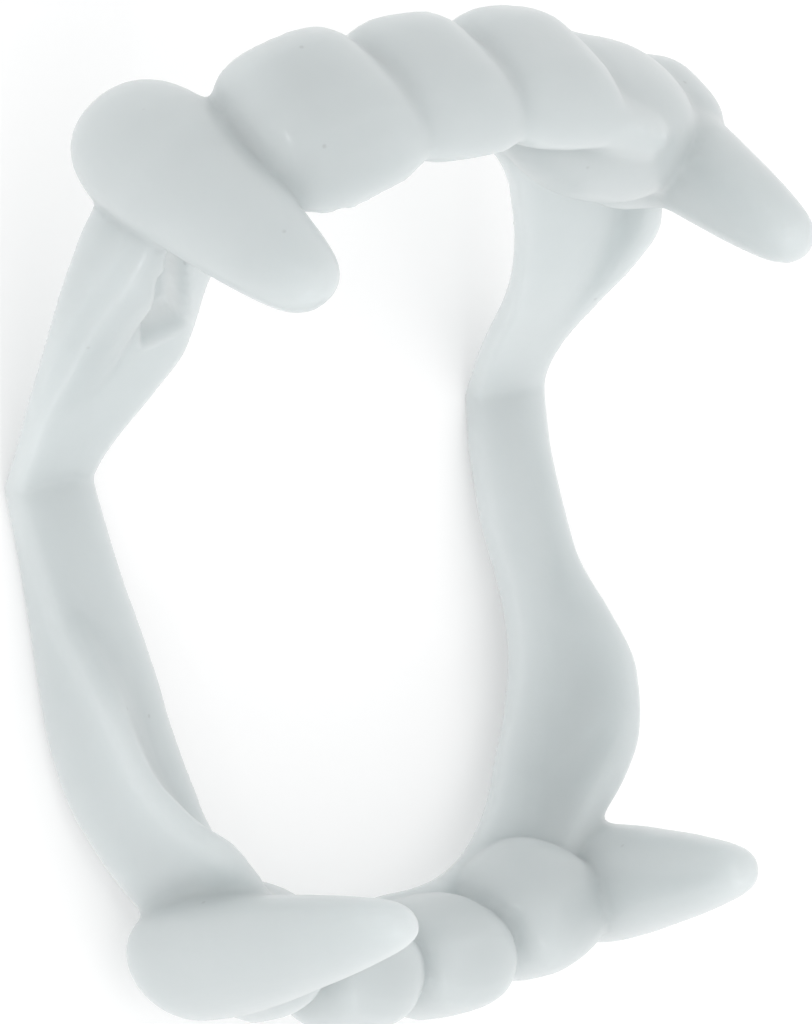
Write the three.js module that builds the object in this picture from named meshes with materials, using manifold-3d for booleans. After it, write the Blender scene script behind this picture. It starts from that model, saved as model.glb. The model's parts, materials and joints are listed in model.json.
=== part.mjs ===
// A pair of moulded toy vampire teeth, opened wide: a lower and an upper half that fold on two hinge creases.
// Millimetres, +Z up. Each half is drawn flat: X across the mouth, Y forward from the crease, Z the way it bites.
import * as THREE from "three";
import Module from "manifold-3d";

const wasm = await Module();
wasm.setup();

// The fold
const OPEN_ANGLE = 126; // degrees between the two ledges
const CREASE_GAP = 0.3; // between the two ends that face each other at the crease
const LOWER_TILT = 10.5; // degrees that the lower ledge slopes up from the crease as the piece lies

// Sizes that both halves share
const LEG_HALF_WIDTH = 23.3; // centre line to the outer edge of a leg
const LEG_WIDTH = 6.7; // across the ledge at the crease
const LEG_INNER_HALF_WIDTH = LEG_HALF_WIDTH - LEG_WIDTH;
const LEG_STRAIGHT = 14; // how far the outer edge runs straight before the arch begins
const LEDGE_THICKNESS = 1.6;
const WALL_THICKNESS = 1.8;
const EDGE_ROUND = 0.35; // on the rim, the foot and the ledge's inner edge
const BITE_FILLET = 2.2; // where the wall rises from the ledge, on the biting side
const GUM_FILLET = 1.6; // and on the gum side

// The halves fold about the line where their biting faces meet, so their ends never press on each other.
const CREASE_SETBACK = LEDGE_THICKNESS / 2 / Math.tan(THREE.MathUtils.degToRad(OPEN_ANGLE / 2));

// The piece lies on the straight lower edges of the lower half's legs, each as long as this.
const FOOT_REACH = 10;
const FOOT_SLOPE = Math.tan(THREE.MathUtils.degToRad(LOWER_TILT));

// Each arch stands a little askew to the crease: skew is how far forward it lies for each unit across, and
// roll how far the way it bites.
const LOWER_SKEW = -0.085;

// Sizes of each half. Heights are from the plane of the crease, the way the half bites.
const LOWER = {
  depth: 38, // crease to the outer wall at the centre line
  innerDepth: 31.4, // crease to the inner edge at the centre line
  outerRoundness: 2.4, // exponent of the outer edge's arch, 2 is an ellipse
  innerRoundness: 2.6,
  rimTop: 3.7,
  footDepth: 4,
  ledgeDrop: 2.4, // how far the ledge sinks towards the gums at the front
  wallLean: 2.4, // how far the rim leans inward beside a fang
  legWaist: 1, // how far the outer edge draws in between the crease and the arch
  incisorWidth: 8.4,
  incisorHeight: 9.4,
  incisorTop: 5, // bite edge
  incisorProud: 1.7, // lip face beyond the arch
  incisorDepth: 7, // tongue face behind the arch
  fangHalfSpan: 0.76 * LEG_HALF_WIDTH, // centre line to a fang's root
  fangLength: 23.2,
  fangTop: 18.2,
  fangWidth: 8.6,
  fangThickness: 7.2,
  fangLeanIn: 3.8, // how far the tip leans to the centre line
  fangLeanForward: 2,
  fangProud: 1.1,
  skew: LOWER_SKEW,
  roll: -LOWER_SKEW * FOOT_SLOPE, // so that the skew leaves the feet on one plane
};
const UPPER = {
  depth: 34.2,
  innerDepth: 26.6,
  outerRoundness: 2.4,
  innerRoundness: 2,
  rimTop: 2.8,
  footDepth: 3,
  ledgeDrop: 0.6,
  wallLean: 0.6,
  legWaist: 0,
  incisorWidth: 8.6,
  incisorHeight: 11.4,
  incisorTop: 8.4,
  incisorProud: 1.7,
  incisorDepth: 7,
  fangHalfSpan: 0.91 * LEG_HALF_WIDTH,
  fangLength: 22.9,
  fangTop: 15.7,
  fangWidth: 10.2,
  fangThickness: 8,
  fangLeanIn: 0,
  fangLeanForward: 4.1,
  fangProud: -1.6,
  skew: -0.045,
  roll: 0.054,
};

// The band from the crease (0) to the centre line (1), as shares of rimTop, footDepth, ledgeDrop, wallLean
// and legWaist
const LOWER_BAND = [
  { along: 0, rim: 0.2, foot: 0.2, drop: 0, lean: 0, waist: 0 },
  { along: 0.1, rim: 0.2, foot: 0.4, drop: 0, lean: 0, waist: 0.9 },
  { along: 0.2, rim: 0.25, foot: 0.6, drop: 0, lean: 0, waist: 1 },
  { along: 0.28, rim: 0.62, foot: 0.76, drop: 0, lean: 0, waist: 0.6 },
  { along: 0.37, rim: 0.98, foot: 0.92, drop: 0.1, lean: 0.1, waist: 0.1 },
  { along: 0.45, rim: 1, foot: 1, drop: 0.4, lean: 0.3, waist: 0 },
  { along: 0.53, rim: 0.85, foot: 1, drop: 0.75, lean: 0.7, waist: 0 },
  { along: 0.6, rim: 0.6, foot: 1, drop: 1, lean: 1, waist: 0 },
  { along: 1, rim: 0.5, foot: 1, drop: 1, lean: 0.6, waist: 0 },
];
const UPPER_BAND = [
  { along: 0, rim: 0.29, foot: 0.27, drop: 0, lean: 0, waist: 0 },
  { along: 0.06, rim: 0.3, foot: 0.36, drop: 0, lean: 0, waist: 0 },
  { along: 0.22, rim: 0.62, foot: 0.5, drop: -0.6, lean: 0, waist: 0 },
  { along: 0.32, rim: 0.86, foot: 0.66, drop: -0.8, lean: 0, waist: 0 },
  { along: 0.38, rim: 1, foot: 0.8, drop: -0.6, lean: 0.2, waist: 0 },
  { along: 0.5, rim: 0.8, foot: 1, drop: 0.2, lean: 1, waist: 0 },
  { along: 1, rim: 0.8, foot: 1, drop: 1, lean: 1, waist: 0 },
];

// The four teeth between the fangs. Place is a share of half the span between the fangs' roots; the rest are
// shares of incisorWidth, incisorTop, incisorProud and incisorDepth.
const LOWER_INCISORS = [
  { place: -0.6, width: 1.1, top: 1, proud: 0.7, depth: 1.2 },
  { place: -0.11, width: 1.06, top: 0.96, proud: 1, depth: 1 },
  { place: 0.34, width: 0.98, top: 0.92, proud: 1.25, depth: 0.95 },
  { place: 0.74, width: 0.86, top: 0.9, proud: 1.5, depth: 1 },
];
const UPPER_INCISORS = [
  { place: -0.64, width: 1.2, top: 1.08, proud: 0.9, depth: 0.95 },
  { place: -0.21, width: 1.03, top: 1, proud: 1.05, depth: 1 },
  { place: 0.18, width: 1.02, top: 0.98, proud: 1, depth: 1 },
  { place: 0.51, width: 0.84, top: 0.94, proud: 0.7, depth: 1 },
];

// A tooth between the fangs, from its gum end (0) to its bite edge (1), as shares of its width,
// of how proud it stands of the arch and of its depth behind it
const INCISOR_SECTIONS = [
  { along: 0, width: 0.5, front: -1.1, back: 0.3 },
  { along: 0.03, width: 0.72, front: -0.2, back: 0.4 },
  { along: 0.1, width: 0.9, front: 0.6, back: 0.6 },
  { along: 0.25, width: 1, front: 0.97, back: 0.85 },
  { along: 0.45, width: 1, front: 1, back: 0.84 },
  { along: 0.65, width: 1, front: 0.96, back: 0.68 },
  { along: 0.8, width: 0.98, front: 0.72, back: 0.52 },
  { along: 0.91, width: 0.92, front: 0.15, back: 0.4 },
  { along: 0.97, width: 0.82, front: -0.5, back: 0.34 },
  { along: 1, width: 0.6, front: -1.1, back: 0.29 },
];

// A fang from its root end (0) to its tip (1), as shares of its length and of its width
const FANG_SECTIONS = [
  { along: 0, girth: 0 },
  { along: 0.02, girth: 0.45 },
  { along: 0.07, girth: 0.76 },
  { along: 0.15, girth: 0.95 },
  { along: 0.25, girth: 1 },
  { along: 0.4, girth: 0.93 },
  { along: 0.55, girth: 0.81 },
  { along: 0.7, girth: 0.68 },
  { along: 0.83, girth: 0.54 },
  { along: 0.92, girth: 0.42 },
  { along: 0.975, girth: 0.28 },
  { along: 1, girth: 0 },
];

const LEDGE_MIDDLE = 0.7; // share of the band's width where its flat faces get a row of corners
const ARCH_STEPS = 60; // corners on half of an edge's arch
const BAND_STATIONS = 44;
const FANG_SIDES = 18;
const LEAST_GIRTH = 0.02; // keeps a fang's end rings open
const TOOTH_SIDE_POWER = 0.7; // 1 is an ellipse seen from above, less is squarer
const TOOTH_FACE_POWER = 0.9;
const INCISOR_SIDES = 20;

// A value read from a table's column at a place along it, with straight lines between its rows.
function readTable(table, column, along) {
  const last = table[table.length - 1];
  if (along >= last.along) return last[column];
  const next = table.findIndex((row) => row.along > along);
  const from = table[next - 1];
  const to = table[next];
  const share = (along - from.along) / (to.along - from.along);
  return THREE.MathUtils.lerp(from[column], to[column], share);
}

// One edge of a half seen from above: a straight leg on each side, joined by a rounded arch.
function plan(halfWidth, straight, depth, roundness, start) {
  const side = [];
  for (let i = 0; i <= ARCH_STEPS; i++) {
    const turn = (i / ARCH_STEPS) * (Math.PI / 2);
    const x = halfWidth * Math.cos(turn) ** (2 / roundness);
    const y = straight + (depth - straight) * Math.sin(turn) ** (2 / roundness);
    side.push(new THREE.Vector3(x, y, 0));
  }
  if (straight > start) side.unshift(new THREE.Vector3(halfWidth, start, 0));
  else side[0].y = start;
  const other = side.slice(0, -1).reverse().map((p) => new THREE.Vector3(-p.x, p.y, 0));
  const path = new THREE.CurvePath();
  const points = [...side, ...other];
  for (let i = 1; i < points.length; i++) path.add(new THREE.LineCurve3(points[i - 1], points[i]));
  return path;
}

// A closed body from rings of points, with the same count in each ring, and its two ends filled.
function loft(rings) {
  const count = rings[0].length;
  const positions = rings.flat().flatMap((p) => [p.x, p.y, p.z]);
  const index = [];
  for (let r = 0; r + 1 < rings.length; r++) {
    for (let i = 0; i < count; i++) {
      const a = r * count + i;
      const b = r * count + ((i + 1) % count);
      index.push(a, b, a + count, b, b + count, a + count);
    }
  }
  // Each end is a fan of triangles round its middle.
  const ends = [
    [rings[0], 0, true],
    [rings[rings.length - 1], (rings.length - 1) * count, false],
  ];
  for (const [ring, base, turned] of ends) {
    const middle = ring.reduce((sum, p) => sum.add(p), new THREE.Vector3()).divideScalar(count);
    const hub = positions.length / 3;
    positions.push(middle.x, middle.y, middle.z);
    for (let i = 0; i < count; i++) {
      const a = base + i;
      const b = base + ((i + 1) % count);
      if (turned) index.push(hub, b, a);
      else index.push(hub, a, b);
    }
  }
  const geometry = new THREE.BufferGeometry();
  geometry.setAttribute("position", new THREE.Float32BufferAttribute(positions, 3));
  geometry.setIndex(index);
  return geometry;
}

function solidOf(geometry) {
  const mesh = new wasm.Mesh({
    numProp: 3,
    vertProperties: geometry.attributes.position.array,
    triVerts: new Uint32Array(geometry.index.array),
  });
  const solid = new wasm.Manifold(mesh);
  if (solid.volume() < 0) throw new Error("a loft is inside out");
  return solid;
}

// The band's section at one station: u runs inward from the outer face, z the way it bites.
function bandSection(width, top, bottom, ledge, lean) {
  const bite = ledge + LEDGE_THICKNESS / 2;
  const gum = ledge - LEDGE_THICKNESS / 2;
  const wall = WALL_THICKNESS;
  const above = Math.max(top - bite, 0);
  const below = Math.max(gum - bottom, 0);
  const biteFillet = Math.min(above, BITE_FILLET);
  const gumFillet = Math.min(below, GUM_FILLET);
  const step = EDGE_ROUND / 4; // keeps neighbouring corners apart where a fillet runs out
  const upright = [
    [wall / 4, bottom],
    [0, bottom + EDGE_ROUND],
    [0, bottom / 2],
    [0, top / 2],
    [0, top - EDGE_ROUND],
    [wall / 4, top],
    [(wall * 3) / 4, top],
    [wall, top - Math.min(EDGE_ROUND, above / 2)],
  ];
  const shelf = [
    [wall + step, bite + (biteFillet * 3) / 4],
    [wall + step + biteFillet / 3, bite + biteFillet / 4],
    [wall + EDGE_ROUND + biteFillet, bite],
    [width * LEDGE_MIDDLE, bite],
    [width - EDGE_ROUND, bite],
    [width, bite - EDGE_ROUND],
    [width, gum + EDGE_ROUND],
    [width - EDGE_ROUND, gum],
    [width * LEDGE_MIDDLE, gum],
    [wall + EDGE_ROUND + gumFillet, gum],
    [wall + step + gumFillet / 3, gum - gumFillet / 4],
    [wall + step, gum - (gumFillet * 3) / 4],
    [wall, bottom + Math.min(EDGE_ROUND, below / 2)],
    [(wall * 3) / 4, bottom],
  ];
  const height = Math.max(top - bottom, LEDGE_THICKNESS);
  return [
    ...upright.map(([u, z]) => [u + (lean * (z - bottom)) / height, z]),
    ...shelf.map(([u, z]) => [u + (lean * Math.max(z - ledge, 0)) / height, z]),
  ];
}

function band(size, table) {
  const start = CREASE_SETBACK + CREASE_GAP / 2;
  const outer = plan(LEG_HALF_WIDTH, LEG_STRAIGHT, size.depth, size.outerRoundness, start);
  const inner = plan(LEG_INNER_HALF_WIDTH, start, size.innerDepth, size.innerRoundness, start);
  const rings = [];
  for (let i = 0; i <= BAND_STATIONS; i++) {
    const share = i / BAND_STATIONS;
    const along = 1 - Math.abs(2 * share - 1);
    const to = inner.getPointAt(share);
    const from = outer.getPointAt(share);
    const inward = to.clone().sub(from).normalize();
    from.addScaledVector(inward, size.legWaist * readTable(table, "waist", along));
    const width = from.distanceTo(to);
    const top = size.rimTop * readTable(table, "rim", along);
    const bottom = -size.footDepth * readTable(table, "foot", along);
    const ledge = -size.ledgeDrop * readTable(table, "drop", along);
    const lean = size.wallLean * readTable(table, "lean", along);
    rings.push(
      bandSection(width, top, bottom, ledge, lean).map(([u, z]) => {
        const point = from.clone().addScaledVector(inward, u);
        const isFoot = size === LOWER && z === bottom && point.y < FOOT_REACH;
        return point.setZ(isFoot ? -LEDGE_THICKNESS / 2 - (point.y - start) * FOOT_SLOPE : z);
      }),
    );
  }
  return solidOf(loft(rings.reverse()));
}

// The place on the outer edge at a distance from the centre line, with the directions along and out.
function placeOnArch(size, fromCentre) {
  const n = size.outerRoundness;
  const x = Math.abs(fromCentre);
  const reach = size.depth - LEG_STRAIGHT;
  const y = LEG_STRAIGHT + reach * (1 - (x / LEG_HALF_WIDTH) ** n) ** (1 / n);
  const slopeX = (x / LEG_HALF_WIDTH) ** (n - 1) / LEG_HALF_WIDTH;
  const slopeY = ((y - LEG_STRAIGHT) / reach) ** (n - 1) / reach;
  const out = new THREE.Vector3(Math.sign(fromCentre) * slopeX, slopeY, 0).normalize();
  const along = new THREE.Vector3(out.y, -out.x, 0);
  return { point: new THREE.Vector3(fromCentre, y, 0), out, along };
}

function signedPower(value, power) {
  return Math.sign(value) * Math.abs(value) ** power;
}

// A tooth between the fangs: a rounded block, thinner at its bite edge.
function incisor(size, tooth) {
  const { point, out, along } = placeOnArch(size, tooth.place * size.fangHalfSpan);
  const bite = size.incisorTop * tooth.top;
  const rings = INCISOR_SECTIONS.map((row) => {
    const z = bite - size.incisorHeight * (1 - row.along);
    const front = size.incisorProud * tooth.proud * row.front;
    const back = -size.incisorDepth * tooth.depth * row.back;
    const halfWidth = (size.incisorWidth / 2) * tooth.width * row.width;
    const ring = [];
    for (let i = 0; i < INCISOR_SIDES; i++) {
      const turn = (i / INCISOR_SIDES) * 2 * Math.PI;
      const side = halfWidth * signedPower(Math.cos(turn), TOOTH_SIDE_POWER);
      const deep = (front + back) / 2 + ((front - back) / 2) * signedPower(Math.sin(turn), TOOTH_FACE_POWER);
      ring.push(point.clone().addScaledVector(along, side).addScaledVector(out, deep).setZ(z));
    }
    return ring;
  });
  return solidOf(loft(rings));
}

// A long canine: a rounded taper that leans as it rises.
function fang(size, side) {
  const { point, out, along } = placeOnArch(size, side * size.fangHalfSpan);
  const rings = FANG_SECTIONS.map((row) => {
    const z = size.fangTop - size.fangLength * (1 - row.along);
    const lean = new THREE.Vector3(-side * size.fangLeanIn, size.fangLeanForward, 0).multiplyScalar(row.along);
    const girth = Math.max(row.girth, LEAST_GIRTH);
    const ring = [];
    for (let i = 0; i < FANG_SIDES; i++) {
      const turn = (i / FANG_SIDES) * 2 * Math.PI;
      ring.push(
        point
          .clone()
          .add(lean)
          .addScaledVector(along, (size.fangWidth / 2) * girth * Math.cos(turn))
          .addScaledVector(out, size.fangProud + (size.fangThickness / 2) * girth * Math.sin(turn))
          .setZ(z),
      );
    }
    return ring;
  });
  return solidOf(loft(rings));
}

// The moulding is a little out of true: past the legs' hinge ends each arch sits askew to the crease.
function settle(geometry, size) {
  const position = geometry.attributes.position;
  for (let i = 0; i < position.count; i++) {
    const y = position.getY(i);
    const across = position.getX(i) * THREE.MathUtils.smoothstep(y, 0, LEG_STRAIGHT);
    position.setY(i, y + size.skew * across);
    position.setZ(i, position.getZ(i) + size.roll * across);
  }
}

function jaw(name, size, table, incisors, material) {
  let solid = band(size, table);
  for (const tooth of incisors) solid = solid.add(incisor(size, tooth));
  for (const side of [-1, 1]) solid = solid.add(fang(size, side));
  const mesh = solid.getMesh();
  const geometry = new THREE.BufferGeometry();
  geometry.setAttribute("position", new THREE.Float32BufferAttribute(mesh.vertProperties, 3));
  geometry.setIndex(Array.from(mesh.triVerts));
  settle(geometry, size);
  const made = new THREE.Mesh(geometry, material);
  made.name = name;
  return made;
}

const milkyPlastic = new THREE.MeshStandardMaterial({ color: 0xdfe6e4, roughness: 0.38, metalness: 0 });

const lower = jaw("lower_jaw", LOWER, LOWER_BAND, LOWER_INCISORS, milkyPlastic.clone());
const lowerHalf = new THREE.Group().add(lower);
lowerHalf.rotation.x = THREE.MathUtils.degToRad(LOWER_TILT);

// The upper half is turned over, so that it bites towards the lower one, and folded up about the crease.
const upper = jaw("upper_jaw", UPPER, UPPER_BAND, UPPER_INCISORS, milkyPlastic.clone());
upper.rotation.y = Math.PI;
const upperHalf = new THREE.Group().add(upper);
upperHalf.rotation.x = THREE.MathUtils.degToRad(LOWER_TILT + OPEN_ANGLE);

const teeth = new THREE.Group();
teeth.add(lowerHalf, upperHalf);

// The origin is at the middle of the footprint, on the floor.
const box = new THREE.Box3().setFromObject(teeth, true);
const middle = box.getCenter(new THREE.Vector3());
teeth.position.set(-middle.x, -middle.y, -box.min.z);
export default teeth;
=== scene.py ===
"""Moulded toy vampire teeth, opened wide: one milky plastic skin over the two packed halves."""

import json
import logging
import math
from dataclasses import dataclass, field
from enum import Enum

import bmesh
import bpy
from mathutils import Matrix, Vector


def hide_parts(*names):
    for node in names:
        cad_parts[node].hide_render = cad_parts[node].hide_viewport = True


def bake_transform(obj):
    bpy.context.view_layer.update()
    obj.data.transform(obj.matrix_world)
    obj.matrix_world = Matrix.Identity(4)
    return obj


log = logging.getLogger("vampire_teeth")
MM = 0.001
ARCH_POINTS = 181
TOOTH_SIDES = 24
TOOTH_SIDE_POWER = 0.7
TOOTH_FACE_POWER = 0.9
FANG_STEPS = 32
FANG_SIDES = 28
PRESS_EDGE = 1.3
PRESS_FADE = 0.45
PRESS_REACH = 5.0
MELT_FADE = 3.0
CREASE_TRIM = 0.12

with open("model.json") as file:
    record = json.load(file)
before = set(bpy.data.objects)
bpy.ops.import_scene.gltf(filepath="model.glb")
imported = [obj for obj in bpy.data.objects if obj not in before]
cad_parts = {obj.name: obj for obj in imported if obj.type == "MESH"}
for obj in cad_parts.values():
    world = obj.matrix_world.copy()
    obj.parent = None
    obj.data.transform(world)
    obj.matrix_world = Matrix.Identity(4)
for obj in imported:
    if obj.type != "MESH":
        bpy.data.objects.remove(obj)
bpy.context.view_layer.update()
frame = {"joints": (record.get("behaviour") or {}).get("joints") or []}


class Side(Enum):
    """The two ends of an arch: the one to the right of the picture and the one to its left."""

    PLUS = 1
    MINUS = -1


@dataclass(frozen=True)
class BandRow:
    """The band at a share of the way from the crease (0) to the front (1), as shares of its sizes.

    The swells are in millimetres, for the arch's end at positive and at negative X.
    """

    along: float
    rim: float
    foot: float
    drop: float
    lean: float
    waist: float
    recess: float
    swell_plus: float = 0.0
    swell_minus: float = 0.0
    shoulder: float = 0.0
    crest: float = 0.0


@dataclass(frozen=True)
class FrontTooth:
    """One front tooth: its place on the arch and how it differs from the plain tooth."""

    place: float
    width: float
    top: float
    proud: float
    depth: float
    height: float = 1.0


@dataclass(frozen=True)
class ToothRow:
    """A front tooth's section at a share of its height, as shares of its width and of its depths."""

    along: float
    width: float
    front: float
    back: float


@dataclass(frozen=True)
class FangRow:
    """A fang's girth at a share of its length."""

    along: float
    girth: float


@dataclass(frozen=True)
class Heel:
    """A rounded swelling behind the teeth: its middle and its half sizes, in the half's millimetres.

    Less roundness makes it squarer; 1 is an ellipsoid.
    """

    middle: tuple
    reach: tuple
    turn_deg: float
    roundness: float = 1.0


@dataclass(frozen=True)
class Dent:
    """A hollow pressed into the biting side, seen from above: its middle, its half sizes and its depth."""

    middle: tuple
    reach: tuple
    depth: float
    turn_deg: float


@dataclass(frozen=True)
class Melt:
    """A place where the forms run into each other: its middle, its half sizes and rounds of smoothing."""

    middle: tuple
    reach: tuple
    rounds: int


def eased(rows: tuple, column: str, along: float) -> float:
    """Reads a table's column with a smooth curve through its rows.

    Args:
        rows: The table, in rising order of along.
        column: The field to read.
        along: The place to read it at.

    Returns:
        The value there.
    """
    if along <= rows[0].along:
        return getattr(rows[0], column)
    if along >= rows[-1].along:
        return getattr(rows[-1], column)
    after = next(i for i, row in enumerate(rows) if row.along > along)
    spots = [rows[min(max(after + k, 0), len(rows) - 1)] for k in (-2, -1, 0, 1)]
    place = [row.along for row in spots]
    value = [getattr(row, column) for row in spots]
    step = place[2] - place[1]

    def slope(i: int) -> float:
        """The curve's slope at one row, held at zero on a peak so that it never overshoots."""
        before = (value[i] - value[i - 1]) / max(place[i] - place[i - 1], 1e-6)
        behind = (value[i + 1] - value[i]) / max(place[i + 1] - place[i], 1e-6)
        if before * behind <= 0:
            return 0.0
        return 2 * before * behind / (before + behind)

    t = (along - place[1]) / step
    m1 = slope(1) if place[1] > place[0] else (value[2] - value[1]) / step
    m2 = slope(2) if place[3] > place[2] else (value[2] - value[1]) / step
    return (
        (2 * t**3 - 3 * t**2 + 1) * value[1]
        + (t**3 - 2 * t**2 + t) * step * m1
        + (3 * t**2 - 2 * t**3) * value[2]
        + (t**3 - t**2) * step * m2
    )


def signed_power(value: float, power: float) -> float:
    """A power that keeps the sign of its base."""
    return math.copysign(abs(value) ** power, value)


def select_nothing() -> None:
    """Leaves nothing selected or active, so that the next operator acts on its own piece alone."""
    if bpy.context.object and bpy.context.object.mode != "OBJECT":
        bpy.ops.object.mode_set(mode="OBJECT")
    bpy.ops.object.select_all(action="DESELECT")


def only(obj: bpy.types.Object) -> None:
    """Selects one object and makes it the active one."""
    select_nothing()
    obj.select_set(True)
    bpy.context.view_layer.objects.active = obj


def sweep(name: str, rings: list[list[Vector]], to_frame: Matrix) -> bpy.types.Object:
    """Pulls a disc through a row of sections, as by hand: extrude, then set the new section in place.

    Args:
        name: The piece's name.
        rings: The sections, each with the same count of points.
        to_frame: From the half's own millimetres to the frame's metres.

    Returns:
        A closed mesh object.
    """
    select_nothing()
    bpy.ops.mesh.primitive_circle_add(vertices=len(rings[0]), radius=MM, fill_type="NGON")
    obj = bpy.context.object
    obj.name = name
    bpy.ops.object.mode_set(mode="EDIT")
    mesh = bmesh.from_edit_mesh(obj.data)
    place = mesh.verts.layers.int.new("place")
    mesh.verts.ensure_lookup_table()
    for i, vert in enumerate(mesh.verts):
        vert[place] = i
    for number, ring in enumerate(rings):
        if number:
            bpy.ops.mesh.extrude_region_move()
        mesh = bmesh.from_edit_mesh(obj.data)
        place = mesh.verts.layers.int["place"]
        for vert in mesh.verts:
            if vert.select:
                vert.co = to_frame @ ring[vert[place]]
        bmesh.update_edit_mesh(obj.data)
    bpy.ops.mesh.select_all(action="SELECT")
    bpy.ops.mesh.normals_make_consistent(inside=False)
    bpy.ops.object.mode_set(mode="OBJECT")
    return obj


def finish_with(obj: bpy.types.Object, kind: str, **settings: object) -> None:
    """Adds a modifier, sets it and applies it.

    Args:
        obj: The piece.
        kind: The modifier's type.
        **settings: Its properties.
    """
    only(obj)
    modifier = obj.modifiers.new(kind.title(), kind)
    for name, value in settings.items():
        setattr(modifier, name, value)
    bpy.ops.object.modifier_apply(modifier=modifier.name)


UPPER_TOOTH_ROWS = (
    ToothRow(0.00, 0.46, -1.10, 0.30),
    ToothRow(0.03, 0.70, -0.20, 0.40),
    ToothRow(0.10, 0.92, 0.60, 0.60),
    ToothRow(0.25, 1.06, 0.97, 0.85),
    ToothRow(0.45, 1.14, 1.00, 0.84),
    ToothRow(0.65, 1.14, 0.96, 0.72),
    ToothRow(0.80, 1.10, 0.72, 0.58),
    ToothRow(0.91, 1.02, 0.20, 0.48),
    ToothRow(0.97, 0.88, -0.40, 0.40),
    ToothRow(1.00, 0.62, -1.10, 0.32),
)
LOWER_TOOTH_ROWS = (
    ToothRow(0.00, 0.50, -1.10, 0.30),
    ToothRow(0.04, 0.74, -0.10, 0.45),
    ToothRow(0.12, 0.92, 0.65, 0.70),
    ToothRow(0.27, 1.00, 0.98, 0.88),
    ToothRow(0.45, 1.00, 1.00, 0.90),
    ToothRow(0.62, 0.99, 0.98, 0.84),
    ToothRow(0.77, 0.94, 0.84, 0.72),
    ToothRow(0.89, 0.82, 0.40, 0.58),
    ToothRow(0.96, 0.64, -0.20, 0.46),
    ToothRow(1.00, 0.38, -1.00, 0.36),
)
UPPER_FANG_ROWS = (
    FangRow(0.000, 0.04),
    FangRow(0.018, 0.44),
    FangRow(0.060, 0.70),
    FangRow(0.140, 0.89),
    FangRow(0.240, 0.97),
    FangRow(0.350, 0.96),
    FangRow(0.430, 0.88),
    FangRow(0.550, 0.81),
    FangRow(0.700, 0.71),
    FangRow(0.830, 0.60),
    FangRow(0.920, 0.49),
    FangRow(0.975, 0.33),
    FangRow(1.000, 0.04),
)
LOWER_FANG_ROWS = (
    FangRow(0.000, 0.04),
    FangRow(0.010, 0.55),
    FangRow(0.040, 0.84),
    FangRow(0.100, 0.99),
    FangRow(0.220, 1.02),
    FangRow(0.400, 0.94),
    FangRow(0.550, 0.82),
    FangRow(0.700, 0.69),
    FangRow(0.830, 0.55),
    FangRow(0.920, 0.43),
    FangRow(0.975, 0.29),
    FangRow(1.000, 0.04),
)


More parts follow.
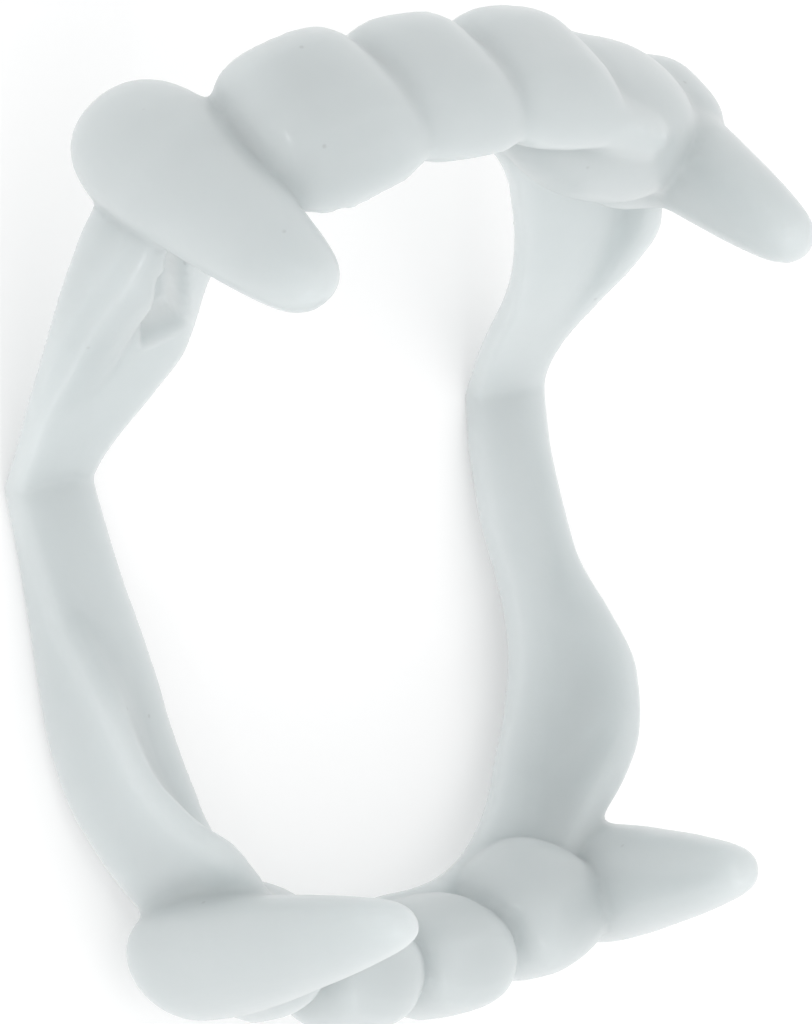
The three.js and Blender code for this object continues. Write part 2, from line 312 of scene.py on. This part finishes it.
@dataclass
class Jaw:
    """One half of the teeth, drawn flat in millimetres: X across, Y forward from the crease, Z as it bites."""

    name: str
    depth: float
    inner_depth: float
    inner_roundness: float
    rim_top: float
    foot_depth: float
    ledge_drop: float
    wall_lean: float
    leg_waist: tuple
    bite_fillet: float
    shoulder: tuple
    fang_crest: tuple
    front_recess: float
    tooth_width: float
    tooth_height: float
    tooth_top: float
    tooth_proud: float
    tooth_depth: float
    fang_half_span: tuple
    fang_length: float
    fang_top: float
    fang_width: float
    fang_thickness: float
    fang_lean_in: tuple
    fang_lean_forward: tuple
    fang_proud: tuple
    skew: float
    roll: float
    band_rows: tuple
    tooth_rows: tuple
    fang_rows: tuple
    teeth: tuple
    heels: tuple
    dents: tuple
    to_frame: Matrix
    outer_roundness: float = 2.4
    leg_half_width: float = 23.3
    leg_inner_half_width: float = 16.6
    leg_straight: float = 14.0
    ledge: float = 1.6
    wall: float = 1.8
    gum_fillet: float = 1.6
    full_rise: float = 2.5
    ledge_edge: float = 1.4
    fillet_power: float = 1.7
    corner: float = 0.35
    web: float = 0.45
    crease_tan: float = math.tan(math.radians(63))
    stations: int = 96
    pieces: list = field(default_factory=list)

    def settle(self, point: Vector) -> Vector:
        """Sets the arch askew to the crease, as the moulding is."""
        t = min(max(point.y / self.leg_straight, 0.0), 1.0)
        across = point.x * t * t * (3 - 2 * t)
        return Vector((point.x, point.y + self.skew * across, point.z + self.roll * across))

    def edge(self, half_width: float, straight: float, depth: float, roundness: float) -> list[Vector]:
        """One edge of the band seen from above, from the crease round to the other crease.

        Args:
            half_width: From the centre line to the leg.
            straight: Where the arch begins.
            depth: Where the arch ends.
            roundness: The arch's exponent, 2 for an ellipse.

        Returns:
            Points evenly spaced along the edge, one for each station.
        """
        side = [Vector((half_width, 0.0, 0.0))]
        for i in range(ARCH_POINTS):
            turn = math.radians(90 * i / (ARCH_POINTS - 1))
            x = half_width * math.cos(turn) ** (2 / roundness)
            y = straight + (depth - straight) * math.sin(turn) ** (2 / roundness)
            side.append(Vector((max(x, 0.0), y, 0.0)))
        path = side + [Vector((-p.x, p.y, 0.0)) for p in reversed(side[:-1])]
        reach = [0.0]
        for a, b in zip(path, path[1:]):
            reach.append(reach[-1] + (b - a).length)
        spots = []
        k = 0
        for i in range(self.stations + 1):
            want = reach[-1] * i / self.stations
            while k + 2 < len(path) and reach[k + 1] < want:
                k += 1
            span = max(reach[k + 1] - reach[k], 1e-9)
            spots.append(path[k].lerp(path[k + 1], min((want - reach[k]) / span, 1.0)))
        return spots

    def section(self, width: float, row: dict[str, float]) -> list[tuple[float, float]]:
        """The band's section at one station: u runs inward from the lip face, z as it bites.

        Args:
            width: From the lip face to the inner edge.
            row: The sizes there.

        Returns:
            Its corners in order round the section.
        """
        top, bottom, shelf = row["top"], row["bottom"], row["shelf"]
        half, wall = self.ledge / 2, self.wall + row["shoulder"]
        above = max(top - shelf - half, 0.0)
        below = max(shelf - half - bottom, 0.0)
        under = min(below, self.gum_fillet)
        wanted = self.bite_fillet * min(above, self.full_rise) / self.full_rise
        fillet = min(wanted, width - wall - self.ledge_edge)
        corner = self.corner
        round_top = corner + 0.1 + 0.3 * row["shoulder"]
        upright = [
            (0.25 * wall, bottom),
            (0.0, bottom + corner + 0.1),
            (-0.12, bottom * 0.4 + top * 0.1),
            (-0.12, (top - round_top) * 0.5),
            (0.0, top - round_top),
            (0.25 * wall, top),
            (0.75 * wall, top),
            (wall, top - min(corner * 0.8, above * 0.5)),
        ]
        sweep_down = [
            (wall + 0.01 + fillet * t, shelf + half + above * (1 - t) ** self.fillet_power)
            for t in (0.15, 0.32, 0.52, 0.76)
        ]
        ledge = [
            *sweep_down,
            (wall + fillet + 0.3, shelf + half),
            (width - corner, shelf + half),
            (width, shelf + half - corner),
            (width, shelf - half + corner),
            (width - corner, shelf - half),
            (width * 0.7, shelf - half),
            (wall + under + 0.3, shelf - half),
            (wall + 0.3 * under, shelf - half - under * 0.28),
            (wall + 0.01, shelf - half - under * 0.8),
            (wall, bottom + min(corner * 0.8, below * 0.5)),
            (0.75 * wall, bottom),
        ]
        height = max(top - bottom, self.ledge)
        lean = row["lean"]
        return [(u + lean * (z - bottom) / height, z) for u, z in upright] + [
            (u + lean * max(z - shelf, 0.0) / height, z) for u, z in ledge
        ]

    def band(self) -> bpy.types.Object:
        """Sweeps the ledge and its outer wall from one crease round to the other."""
        outer = self.edge(self.leg_half_width, self.leg_straight, self.depth, self.outer_roundness)
        inner = self.edge(self.leg_inner_half_width, 0.0, self.inner_depth, self.inner_roundness)
        rings = []
        for i, (start, end) in enumerate(zip(outer, inner)):
            along = 1 - abs(2 * i / self.stations - 1)
            inward = (end - start).normalized()
            side = 0 if start.x > 0 else 1
            waist = self.leg_waist[side] * eased(self.band_rows, "waist", along)
            recess = self.front_recess * eased(self.band_rows, "recess", along)
            crest = self.fang_crest[side] * eased(self.band_rows, "crest", along)
            start = start + inward * (waist + recess)
            end = end + inward * eased(self.band_rows, ("swell_plus", "swell_minus")[side], along)
            row = {
                "top": self.rim_top * eased(self.band_rows, "rim", along) + crest,
                "bottom": -self.foot_depth * eased(self.band_rows, "foot", along),
                "shelf": -self.ledge_drop * eased(self.band_rows, "drop", along),
                "lean": self.wall_lean * eased(self.band_rows, "lean", along),
                "shoulder": self.shoulder[side] * eased(self.band_rows, "shoulder", along),
            }
            ring = []
            for u, z in self.section((end - start).length, row):
                point = start + inward * u
                if i in (0, self.stations):
                    z = max(z, -self.web)
                    point.y = z / self.crease_tan - CREASE_TRIM
                ring.append(self.settle(Vector((point.x, point.y, z))))
            rings.append(ring)
        return sweep(f"{self.name}_band", rings, self.to_frame)

    def on_arch(self, from_centre: float) -> tuple[Vector, Vector, Vector]:
        """The place on the outer edge at a distance from the centre line.

        Args:
            from_centre: The distance, positive to one side.

        Returns:
            The point, the way out of the arch there and the way along it.
        """
        n = self.outer_roundness
        reach = self.depth - self.leg_straight
        share = abs(from_centre) / self.leg_half_width
        rise = (1 - share**n) ** (1 / n)
        out = Vector(
            (
                math.copysign(share ** (n - 1) / self.leg_half_width, from_centre),
                rise ** (n - 1) / reach,
                0.0,
            )
        ).normalized()
        point = Vector((from_centre, self.leg_straight + reach * rise, 0.0))
        return point, out, Vector((out.y, -out.x, 0.0))

    def front_tooth(self, number: int, tooth: FrontTooth) -> bpy.types.Object:
        """Sweeps one rounded front tooth from its gum end to its bite edge."""
        point, out, sideways = self.on_arch(tooth.place * max(self.fang_half_span))
        bite = self.tooth_top * tooth.top
        rings = []
        for row in self.tooth_rows:
            z = bite - self.tooth_height * tooth.height * (1 - row.along)
            front = self.tooth_proud * tooth.proud * row.front
            back = -self.tooth_depth * tooth.depth * row.back
            half_width = self.tooth_width / 2 * tooth.width * row.width
            ring = []
            for i in range(TOOTH_SIDES):
                turn = math.radians(360 * i / TOOTH_SIDES)
                side = half_width * signed_power(math.cos(turn), TOOTH_SIDE_POWER)
                rise = signed_power(math.sin(turn), TOOTH_FACE_POWER)
                deep = (front + back) / 2 + (front - back) / 2 * rise
                spot = point + sideways * side + out * deep
                ring.append(self.settle(Vector((spot.x, spot.y, z))))
            rings.append(ring)
        return sweep(f"{self.name}_tooth_{number}", rings, self.to_frame)

    def fang(self, side: Side) -> bpy.types.Object:
        """Sweeps one long fang, which leans as it rises and is a little flat on its lip face."""
        which = 0 if side is Side.PLUS else 1
        point, out, sideways = self.on_arch(side.value * self.fang_half_span[which])
        lean = Vector((-side.value * self.fang_lean_in[which], self.fang_lean_forward[which], 0.0))
        proud = self.fang_proud[which]
        rings = []
        for step in range(FANG_STEPS + 1):
            along = (1 - math.cos(math.pi * step / FANG_STEPS)) / 2
            girth = eased(self.fang_rows, "girth", along)
            z = self.fang_top - self.fang_length * (1 - along)
            ring = []
            for i in range(FANG_SIDES):
                turn = math.radians(360 * i / FANG_SIDES)
                across = self.fang_width / 2 * girth * math.cos(turn)
                deep = proud + self.fang_thickness / 2 * girth * math.sin(turn)
                spot = point + lean * along + sideways * across + out * deep
                ring.append(self.settle(Vector((spot.x, spot.y, z))))
            rings.append(ring)
        return sweep(f"{self.name}_fang_{side.name.lower()}", rings, self.to_frame)

    def heel(self, number: int, heel: Heel) -> bpy.types.Object:
        """Swells the moulding behind the teeth with a rounded lump that the skin then flows over."""
        select_nothing()
        bpy.ops.mesh.primitive_uv_sphere_add(segments=32, ring_count=18, radius=1.0)
        lump = bpy.context.object
        lump.name = f"{self.name}_heel_{number}"
        turn = Matrix.Rotation(math.radians(heel.turn_deg), 3, "Z")
        for vert in lump.data.vertices:
            shape = [signed_power(c, heel.roundness) * r for c, r in zip(vert.co, heel.reach)]
            spot = turn @ Vector(shape) + Vector(heel.middle)
            vert.co = self.to_frame @ self.settle(spot)
        return lump

    def press(self, skin: bpy.types.Object) -> None:
        """Presses the half's hollows into the finished skin, straight down from the biting side."""
        to_half = self.to_frame.inverted()
        down = self.to_frame.to_3x3() @ Vector((0.0, 0.0, -1.0))
        for dent in self.dents:
            turn = Matrix.Rotation(math.radians(-dent.turn_deg), 2)
            for vert in skin.data.vertices:
                spot = to_half @ vert.co
                flat = turn @ Vector((spot.x - dent.middle[0], spot.y - dent.middle[1]))
                away = max(abs(flat[k]) / dent.reach[k] for k in (0, 1))
                if away < PRESS_EDGE and abs(spot.z) < PRESS_REACH:
                    share = min(max((PRESS_EDGE - away) / PRESS_FADE, 0.0), 1.0)
                    vert.co += down * (dent.depth * share * share * (3 - 2 * share))

    def build(self) -> list[bpy.types.Object]:
        """Makes the band, the front teeth, the fangs and the swellings behind them."""
        self.pieces = [self.band()]
        for number, tooth in enumerate(self.teeth, 1):
            self.pieces.append(self.front_tooth(number, tooth))
        for side in Side:
            self.pieces.append(self.fang(side))
        for number, heel in enumerate(self.heels, 1):
            self.pieces.append(self.heel(number, heel))
        log.info("%s: %d forms", self.name, len(self.pieces))
        return self.pieces


LOWER_BAND = (
    BandRow(0.00, 0.20, 0.20, 0.00, 0.00, 0.0, 0.0),
    BandRow(0.10, 0.20, 0.40, 0.00, 0.00, 0.9, 0.0, 0.0, 0.9),
    BandRow(0.20, 0.25, 0.60, 0.00, 0.00, 1.0, 0.0, 0.0, 1.2),
    BandRow(0.28, 0.62, 0.76, 0.00, 0.00, 0.6, 0.0, 0.0, 0.8),
    BandRow(0.37, 0.98, 0.92, 0.10, 0.10, 0.1, 0.0, 0.0, 0.3),
    BandRow(0.45, 1.00, 1.00, 0.40, 0.30, 0.0, 0.0, 0.0, 0.0),
    BandRow(0.53, 0.85, 1.00, 0.75, 0.70, 0.0, 0.0, 0.0, 0.0, 0.0, 0.35),
    BandRow(0.60, 0.60, 1.00, 1.00, 1.00, 0.0, 0.0, -0.2, 0.0, 0.0, 0.9),
    BandRow(0.66, 0.55, 1.00, 1.00, 0.90, 0.0, 0.2, -1.2, 0.0, 0.0, 0.75),
    BandRow(0.71, 0.50, 0.95, 1.00, 0.80, 0.0, 0.6, -2.2, 0.0, 0.0, 0.35),
    BandRow(0.80, 0.50, 0.95, 1.00, 0.70, 0.0, 1.0, -2.0, 0.0),
    BandRow(1.00, 0.50, 0.95, 1.00, 0.60, 0.0, 1.0),
)
UPPER_BAND = (
    BandRow(0.00, 0.29, 0.27, 0.00, 0.00, 0.0, 0.0),
    BandRow(0.05, 0.29, 0.32, 0.00, 0.00, 0.7, 0.0, 0.2, 0.2),
    BandRow(0.10, 0.29, 0.40, -0.10, 0.00, 0.9, 0.0, 0.6, 0.6),
    BandRow(0.22, 0.50, 0.50, -0.50, 0.00, 1.0, 0.0, 1.0, 1.8, 0.8),
    BandRow(0.32, 0.84, 0.66, -0.80, 0.00, 0.5, 0.0, 0.8, 2.3, 1.0),
    BandRow(0.38, 1.00, 0.80, -0.60, 0.20, 0.1, 0.0, 0.5, 1.8, 1.0),
    BandRow(0.50, 0.80, 0.95, 0.20, 1.00, 0.0, 0.2, 0.1, 0.1),
    BandRow(0.60, 0.80, 0.70, 0.70, 1.00, 0.0, 1.0),
    BandRow(1.00, 0.80, 0.60, 1.00, 1.00, 0.0, 1.0),
)
LOWER_TEETH = (
    FrontTooth(-0.64, 1.10, 1.00, 1.20, 1.16),
    FrontTooth(-0.11, 1.06, 0.96, 1.30, 1.00),
    FrontTooth(0.34, 0.98, 0.92, 1.55, 0.95),
    FrontTooth(0.74, 0.86, 0.90, 1.80, 1.00),
)
UPPER_TEETH = (
    FrontTooth(-0.62, 1.14, 1.08, 1.75, 0.95, 1.10),
    FrontTooth(-0.21, 1.03, 1.00, 1.30, 1.00),
    FrontTooth(0.21, 1.10, 0.98, 1.25, 1.00),
    FrontTooth(0.49, 0.98, 0.95, 0.20, 1.00, 0.94),
)
UPPER_HEELS = (
    Heel((18.6, 25.6, 0.6), (5.0, 4.8, 4.2), 0, 0.6),
    Heel((12.2, 28.4, 2.0), (7.4, 5.2, 5.4), -12, 0.85),
    Heel((-19.0, 24.6, 0.6), (4.0, 4.2, 3.4), 0, 0.6),
)
UPPER_DENTS = (Dent((-16.8, 15.8), (1.5, 3.2), 2.2, 20),)
UPPER_MELTS = (
    Melt((-1.0, 30.0, 3.0), (21.0, 11.0, 8.0), 22),
    Melt((15.0, 26.0, 4.0), (10.0, 8.0, 7.0), 30),
)
LOWER_MELTS = (
    Melt((18.0, 27.0, 2.0), (6.0, 5.0, 6.0), 40),
    Melt((-17.0, 26.0, 0.0), (7.0, 6.0, 5.0), 20),
    Melt((-1.0, 34.0, 2.0), (17.0, 8.0, 8.0), 10),
)


def effect_group() -> bpy.types.NodeTree:
    """Builds the moulded surface that both the skin's colour and its gloss read.

    Returns:
        A node group with the inputs Mottle Size, Grain Size and Speck Size and the outputs Mottle, Speck
        and Height.
    """
    group = bpy.data.node_groups.new("moulded_surface", "ShaderNodeTree")
    for name, value in (("Mottle Size", 160.0), ("Grain Size", 1400.0), ("Speck Size", 260.0)):
        socket = group.interface.new_socket(name, in_out="INPUT", socket_type="NodeSocketFloat")
        socket.default_value = value
    for name in ("Mottle", "Speck", "Height"):
        group.interface.new_socket(name, in_out="OUTPUT", socket_type="NodeSocketFloat")
    nodes, links = group.nodes, group.links
    given = nodes.new("NodeGroupInput")
    result = nodes.new("NodeGroupOutput")
    place = nodes.new("ShaderNodeTexCoord")

    mottle = nodes.new("ShaderNodeTexNoise")
    mottle.inputs["Detail"].default_value = 3.0
    links.new(place.outputs["Object"], mottle.inputs["Vector"])
    links.new(given.outputs["Mottle Size"], mottle.inputs["Scale"])
    links.new(mottle.outputs["Fac"], result.inputs["Mottle"])

    grain = nodes.new("ShaderNodeTexNoise")
    grain.inputs["Detail"].default_value = 4.0
    links.new(place.outputs["Object"], grain.inputs["Vector"])
    links.new(given.outputs["Grain Size"], grain.inputs["Scale"])

    speck = nodes.new("ShaderNodeTexVoronoi")
    links.new(place.outputs["Object"], speck.inputs["Vector"])
    links.new(given.outputs["Speck Size"], speck.inputs["Scale"])
    small = nodes.new("ShaderNodeMapRange")
    small.inputs["From Min"].default_value = 0.02
    small.inputs["From Max"].default_value = 0.05
    small.inputs["To Min"].default_value = 0.3
    small.inputs["To Max"].default_value = 0.0
    links.new(speck.outputs["Distance"], small.inputs["Value"])
    links.new(small.outputs["Result"], result.inputs["Speck"])

    height = nodes.new("ShaderNodeMath")
    height.operation = "MULTIPLY_ADD"
    height.inputs[1].default_value = 0.25
    links.new(grain.outputs["Fac"], height.inputs[0])
    links.new(mottle.outputs["Fac"], height.inputs[2])
    links.new(height.outputs["Value"], result.inputs["Height"])
    return group


@dataclass(frozen=True)
class MilkyPlastic:
    """Soft, slightly see-through white plastic with a satin skin."""

    light: tuple = (0.551, 0.588, 0.593, 1.0)
    dark: tuple = (0.52, 0.556, 0.56, 1.0)
    speck: tuple = (0.30, 0.31, 0.31, 1.0)
    roughness: float = 0.36
    depth: float = 0.005
    bump: float = 0.00006

    def make(self) -> bpy.types.Material:
        """Builds the material.

        Returns:
            A node material that reads the piece's own coordinates.
        """
        material = bpy.data.materials.new("milky_plastic")
        material.use_nodes = True
        nodes, links = material.node_tree.nodes, material.node_tree.links
        skin = nodes["Principled BSDF"]
        surface = nodes.new("ShaderNodeGroup")
        surface.node_tree = effect_group()

        tone = nodes.new("ShaderNodeMix")
        tone.data_type = "RGBA"
        tone.inputs["A"].default_value = self.dark
        tone.inputs["B"].default_value = self.light
        links.new(surface.outputs["Mottle"], tone.inputs["Factor"])
        dotted = nodes.new("ShaderNodeMix")
        dotted.data_type = "RGBA"
        dotted.inputs["B"].default_value = self.speck
        links.new(surface.outputs["Speck"], dotted.inputs["Factor"])
        links.new(tone.outputs["Result"], dotted.inputs["A"])
        links.new(dotted.outputs["Result"], skin.inputs["Base Color"])

        gloss = nodes.new("ShaderNodeMapRange")
        gloss.inputs["To Min"].default_value = self.roughness - 0.05
        gloss.inputs["To Max"].default_value = self.roughness + 0.07
        links.new(surface.outputs["Mottle"], gloss.inputs["Value"])
        links.new(gloss.outputs["Result"], skin.inputs["Roughness"])

        bump = nodes.new("ShaderNodeBump")
        bump.inputs["Distance"].default_value = self.bump
        links.new(surface.outputs["Height"], bump.inputs["Height"])
        links.new(bump.outputs["Normal"], skin.inputs["Normal"])

        skin.inputs["IOR"].default_value = 1.48
        skin.inputs["Coat Weight"].default_value = 0.25
        skin.inputs["Coat Roughness"].default_value = 0.14
        skin.inputs["Subsurface Weight"].default_value = 0.9
        skin.inputs["Subsurface Radius"].default_value = (1.0, 1.0, 1.0)
        skin.inputs["Subsurface Scale"].default_value = self.depth
        return material


@dataclass
class VampireTeeth:
    """The whole moulding: both halves and the creases that join them, as one skin."""

    open_deg: float = 126.0
    tilt_deg: float = 10.5
    ledge: float = 1.6
    voxel: float = 0.302

    def crease_frames(self) -> tuple[Matrix, Matrix]:
        """Where each half's own millimetres lie in the frame, worked out from the hinge.

        Returns:
            The lower half's matrix and the upper half's.
        """
        pivot = Vector(frame["joints"][0]["pos_m"])
        tilt = Matrix.Rotation(math.radians(self.tilt_deg), 4, "X")
        setback = self.ledge / 2 / math.tan(math.radians(self.open_deg / 2))
        start = pivot - tilt @ (Vector((0.0, setback, self.ledge / 2)) * MM)
        scale = Matrix.Scale(MM, 4)
        lower = Matrix.Translation(start) @ tilt @ scale
        fold = Matrix.Rotation(math.radians(self.tilt_deg + self.open_deg), 4, "X")
        upper = Matrix.Translation(start) @ fold @ Matrix.Rotation(math.pi, 4, "Y") @ scale
        return lower, upper

    def jaws(self) -> tuple[Jaw, Jaw]:
        """The lower and the upper half with their sizes."""
        lower_at, upper_at = self.crease_frames()
        lower = Jaw(
            name="lower", depth=38, inner_depth=31.4, inner_roundness=2.6, rim_top=3.7, foot_depth=4,
            ledge_drop=2.4, wall_lean=2.4, leg_waist=(0.2, 1), bite_fillet=5.4, shoulder=(0, 0),
            fang_crest=(3.4, 0), front_recess=1, tooth_width=8.4, tooth_height=9.4, tooth_top=5,
            tooth_proud=1.7, tooth_depth=7, fang_half_span=(16.5, 17.7), fang_length=23.2, fang_top=18.2,
            fang_width=8.6, fang_thickness=7.2, fang_lean_in=(2.7, 3.8), fang_lean_forward=(0.6, 2),
            fang_proud=(1.3, 1.1), skew=-0.085, roll=0.0158, band_rows=LOWER_BAND,
            tooth_rows=LOWER_TOOTH_ROWS, fang_rows=LOWER_FANG_ROWS, teeth=LOWER_TEETH, heels=(), dents=(),
            to_frame=lower_at,
        )
        upper = Jaw(
            name="upper", depth=34.2, inner_depth=26.6, inner_roundness=2, rim_top=2.8, foot_depth=3,
            ledge_drop=0.6, wall_lean=0.6, leg_waist=(0.9, 0), bite_fillet=2.4, shoulder=(0, 3),
            fang_crest=(0, 0), front_recess=1.2, tooth_width=8.6, tooth_height=11.4, tooth_top=8.4,
            tooth_proud=1.7, tooth_depth=7, fang_half_span=(21.0, 21.2), fang_length=22.9, fang_top=15.7,
            fang_width=10.2, fang_thickness=8, fang_lean_in=(-0.6, 0), fang_lean_forward=(4.2, 4.1),
            fang_proud=(-1.6, -1.4), skew=-0.045, roll=0.054, band_rows=UPPER_BAND,
            tooth_rows=UPPER_TOOTH_ROWS, fang_rows=UPPER_FANG_ROWS, teeth=UPPER_TEETH, heels=UPPER_HEELS,
            dents=UPPER_DENTS, to_frame=upper_at,
        )
        return lower, upper

    def build(self) -> bpy.types.Object:
        """Joins all the forms into one moulded skin, dresses it and bakes its placement into the mesh."""
        jaws = self.jaws()
        forms = [form for jaw in jaws for form in jaw.build()]
        select_nothing()
        for form in forms:
            form.select_set(True)
        bpy.context.view_layer.objects.active = forms[0]
        bpy.ops.object.join()
        skin = bpy.context.object
        skin.name = "moulded_teeth"
        bpy.ops.object.transform_apply(location=True, rotation=True, scale=True)
        finish_with(skin, "REMESH", mode="VOXEL", voxel_size=self.voxel * MM)
        finish_with(skin, "SMOOTH", factor=0.5, iterations=4)
        for jaw, spots in zip(jaws, (LOWER_MELTS, UPPER_MELTS)):
            for spot in spots:
                self.melt(skin, jaw, spot)
        for jaw in jaws:
            jaw.press(skin)
        finish_with(skin, "SMOOTH", factor=0.5, iterations=1)
        only(skin)
        bpy.ops.object.shade_smooth()
        skin.data.materials.clear()
        skin.data.materials.append(MilkyPlastic().make())
        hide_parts("lower_jaw", "upper_jaw")
        self.bind(skin)
        log.info("%s: %d faces", skin.name, len(skin.data.polygons))
        return skin

    def melt(self, skin: bpy.types.Object, jaw: Jaw, spot: Melt) -> None:
        """Softens the skin round one spot, where the real forms run into each other.

        Args:
            skin: The moulded skin.
            jaw: The half whose millimetres the spot is given in.
            spot: Where to soften it, how far out and how much.
        """
        to_half = jaw.to_frame.inverted()
        soft = skin.vertex_groups.new(name="melted")
        for vert in skin.data.vertices:
            here = to_half @ vert.co
            away = max(abs(here[k] - spot.middle[k]) / spot.reach[k] for k in range(3))
            if away < 1.0:
                soft.add([vert.index], min((1.0 - away) * MELT_FADE, 1.0), "REPLACE")
        finish_with(skin, "SMOOTH", factor=0.5, iterations=spot.rounds, vertex_group="melted")
        skin.vertex_groups.remove(skin.vertex_groups["melted"])

    def bind(self, skin: bpy.types.Object) -> None:
        """Bakes the skin's placement into its own mesh."""
        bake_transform(skin)


@dataclass
class Studio:
    """A pale floor, soft light and the camera where the photograph was taken from."""

    camera_at: tuple = (0.28268, -0.041553, 0.349166)
    camera_turn: tuple = (0.078837, 0.343774, -0.020366, 0.935516)
    lens: float = 237.3
    floor: float = 1.5
    dim_side: float = 0.92
    bright_side: float = 1.2

    def camera(self) -> None:
        """Places the camera and makes it the scene's own."""
        data = bpy.data.cameras.new("photo_camera")
        data.lens = self.lens
        data.sensor_width = 36.0
        data.clip_end = 20.0
        eye = bpy.data.objects.new("photo_camera", data)
        bpy.context.scene.collection.objects.link(eye)
        eye.location = self.camera_at
        eye.rotation_mode = "QUATERNION"
        eye.rotation_quaternion = self.camera_turn
        bpy.context.scene.camera = eye

    def ground(self) -> None:
        """Lays the pale floor."""
        select_nothing()
        bpy.ops.mesh.primitive_plane_add(size=self.floor * 2, location=(0.0, 0.0, 0.0))
        floor = bpy.context.object
        floor.name = "studio_floor"
        material = bpy.data.materials.new("studio_floor")
        material.use_nodes = True
        paper = material.node_tree.nodes["Principled BSDF"]
        paper.inputs["Base Color"].default_value = (0.72, 0.72, 0.72, 1.0)
        paper.inputs["Emission Color"].default_value = (1.0, 1.0, 1.0, 1.0)
        paper.inputs["Emission Strength"].default_value = 0.32
        paper.inputs["Roughness"].default_value = 0.9
        paper.inputs["Specular IOR Level"].default_value = 0.1
        floor.data.materials.append(material)

    def lamp(self, name: str, at: tuple, size: float, power: float) -> None:
        """Hangs one soft square lamp that faces the teeth."""
        data = bpy.data.lights.new(name, "AREA")
        data.size = size
        data.energy = power
        lamp = bpy.data.objects.new(name, data)
        bpy.context.scene.collection.objects.link(lamp)
        lamp.location = at
        towards = Vector((0.0, 0.0, 0.01)) - Vector(at)
        lamp.rotation_euler = towards.to_track_quat("-Z", "Y").to_euler()

    def build(self) -> None:
        """Sets the studio up."""
        self.camera()
        self.ground()
        self.lamp("soft_front", (0.25, 0.75, 0.35), 0.45, 0.3)
        self.lamp("small_front", (0.24, 0.62, 0.40), 0.05, 0.22)
        self.lamp("small_back", (0.64, -0.34, 0.32), 0.05, 0.2)
        world = bpy.data.worlds.new("studio")
        world.use_nodes = True
        sky = world.node_tree.nodes["Background"]
        sky.inputs["Color"].default_value = (1.0, 1.0, 1.0, 1.0)
        way = world.node_tree.nodes.new("ShaderNodeTexCoord")
        axes = world.node_tree.nodes.new("ShaderNodeSeparateXYZ")
        fade = world.node_tree.nodes.new("ShaderNodeMapRange")
        fade.inputs["From Min"].default_value = -1.0
        fade.inputs["To Min"].default_value = self.dim_side
        fade.inputs["To Max"].default_value = self.bright_side
        world.node_tree.links.new(way.outputs["Generated"], axes.inputs["Vector"])
        world.node_tree.links.new(axes.outputs["Y"], fade.inputs["Value"])
        world.node_tree.links.new(fade.outputs["Result"], sky.inputs["Strength"])
        bpy.context.scene.world = world
        bpy.context.scene.view_settings.view_transform = "Standard"
        log.info("studio set up")


def main() -> None:
    """Builds the teeth and the studio."""
    logging.basicConfig(level=logging.INFO, format="%(message)s")
    Studio().build()
    VampireTeeth().build()


if __name__ == "__main__":
    main()
